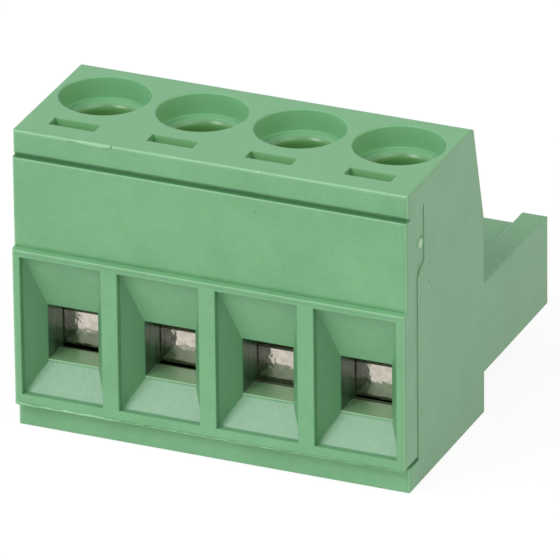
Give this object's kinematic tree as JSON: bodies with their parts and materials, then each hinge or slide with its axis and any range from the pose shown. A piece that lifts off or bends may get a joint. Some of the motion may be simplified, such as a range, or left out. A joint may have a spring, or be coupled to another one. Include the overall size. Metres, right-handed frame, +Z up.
{
  "type": "pluggable terminal block",
  "caption": "Pluggable screw terminal block: green moulded housing and funnel cover, rising clamp cages worked by screws, and a plug nose with socket contacts.",
  "frame": {"origin": "centre of the bounding box in plan, on the level of the housing's underside", "axes": "+X along the row of ways, +Y from the wire side to the plug side, +Z up towards the screw holes"},
  "size_m": [0.0204, 0.0184, 0.0156],
  "materials": {
    "housing_polyamide": "green moulded polyamide, fine satin",
    "cover_polyamide": "green moulded polyamide, fine satin",
    "cage_nickel": "nickel-plated steel strip, rolled and slightly wavy",
    "screw_zinc": "zinc-plated and passivated steel",
    "contact_tin": "matt tin plate on copper alloy",
    "spring_steel": "bright spring steel"
  },
  "bodies": {
    "shell": {"housing": "housing_polyamide", "front_cover": "cover_polyamide", "contact_1": "contact_tin", "contact_2": "contact_tin", "contact_3": "contact_tin", "contact_4": "contact_tin", "contact_spring_1": "spring_steel", "contact_spring_2": "spring_steel", "contact_spring_3": "spring_steel", "contact_spring_4": "spring_steel"},
    "screw_1": {"clamp_screw_1": "screw_zinc"},
    "cage_1": {"clamp_cage_1": "cage_nickel"},
    "screw_2": {"clamp_screw_2": "screw_zinc"},
    "cage_2": {"clamp_cage_2": "cage_nickel"},
    "screw_3": {"clamp_screw_3": "screw_zinc"},
    "cage_3": {"clamp_cage_3": "cage_nickel"},
    "screw_4": {"clamp_screw_4": "screw_zinc"},
    "cage_4": {"clamp_cage_4": "cage_nickel"}
  },
  "joints": [
    {"name": "cage_rise_1", "type": "slide", "parent": "shell", "child": "cage_1", "axis": [0, 0, -1], "range_m": [-0.00059, 0.00193]},
    {"name": "screw_turn_1", "type": "hinge", "parent": "shell", "child": "screw_1", "pos_m": [-0.00762, -0.00348, 0.00672], "axis": [0, 0, 1], "range_deg": [-430.52, 1395.32]},
    {"name": "cage_rise_2", "type": "slide", "parent": "shell", "child": "cage_2", "axis": [0, 0, -1], "range_m": [-0.00065, 0.00187]},
    {"name": "screw_turn_2", "type": "hinge", "parent": "shell", "child": "screw_2", "pos_m": [-0.00254, -0.00348, 0.00672], "axis": [0, 0, 1], "range_deg": [-473.72, 1352.12]},
    {"name": "cage_rise_3", "type": "slide", "parent": "shell", "child": "cage_3", "axis": [0, 0, -1], "range_m": [-0.00072, 0.0018]},
    {"name": "screw_turn_3", "type": "hinge", "parent": "shell", "child": "screw_3", "pos_m": [0.00254, -0.00348, 0.00672], "axis": [0, 0, 1], "range_deg": [-524.12, 1301.72]},
    {"name": "cage_rise_4", "type": "slide", "parent": "shell", "child": "cage_4", "axis": [0, 0, -1], "range_m": [-0.00063, 0.00189]},
    {"name": "screw_turn_4", "type": "hinge", "parent": "shell", "child": "screw_4", "pos_m": [0.00762, -0.00348, 0.00672], "axis": [0, 0, 1], "range_deg": [-459.32, 1366.52]}
  ],
  "couplings": [
    {"joint": "screw_turn_1", "follows": "cage_rise_1", "rad_per_m": 12566},
    {"joint": "screw_turn_2", "follows": "cage_rise_2", "rad_per_m": 12566},
    {"joint": "screw_turn_3", "follows": "cage_rise_3", "rad_per_m": 12566},
    {"joint": "screw_turn_4", "follows": "cage_rise_4", "rad_per_m": 12566}
  ]
}
